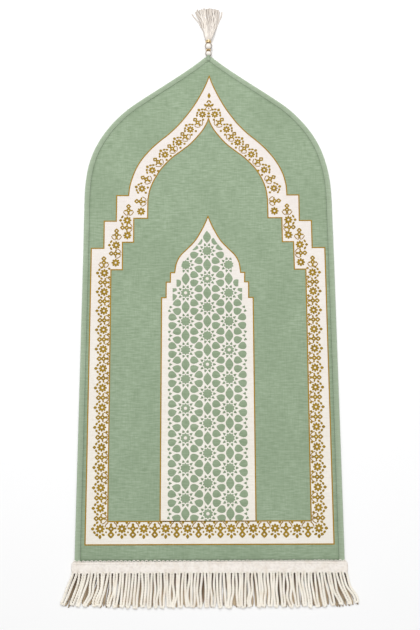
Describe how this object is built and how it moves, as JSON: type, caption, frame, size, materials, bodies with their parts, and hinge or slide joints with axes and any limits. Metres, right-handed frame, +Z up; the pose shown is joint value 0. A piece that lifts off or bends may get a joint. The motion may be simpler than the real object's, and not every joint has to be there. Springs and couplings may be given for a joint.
{
  "type": "prayer rug",
  "caption": "Flat arch-topped cloth prayer rug with bound edges, a knotted fringe across its foot and a beaded tassel at its tip.",
  "frame": {"origin": "middle of the whole rug's box, fringe and tassel included, on the floor under it", "axes": "+X across the rug to the right, +Y along it from the fringe to the tassel, +Z up from the floor"},
  "size_m": [0.6588, 1.4694, 0.0184],
  "materials": {
    "rug_cloth": "sage green slubbed weave with a cream and gold pattern",
    "binding_cloth": "the same sage cloth, turned over the edge and a little lighter",
    "cotton_yarn": "soft undyed cotton yarn",
    "pearl": "pearl coat on a moulded bead",
    "gold_metal": "polished gold-coloured metal"
  },
  "bodies": {
    "root": {"rug_body": "rug_cloth", "binding_left": "binding_cloth", "binding_right": "binding_cloth", "fringe": "cotton_yarn", "hanging_tab": "binding_cloth", "tip_cup": "gold_metal", "small_bead": "pearl", "bead_spacer": "gold_metal", "large_bead": "pearl", "tassel_collar": "gold_metal", "tassel": "cotton_yarn"}
  },
  "joints": []
}
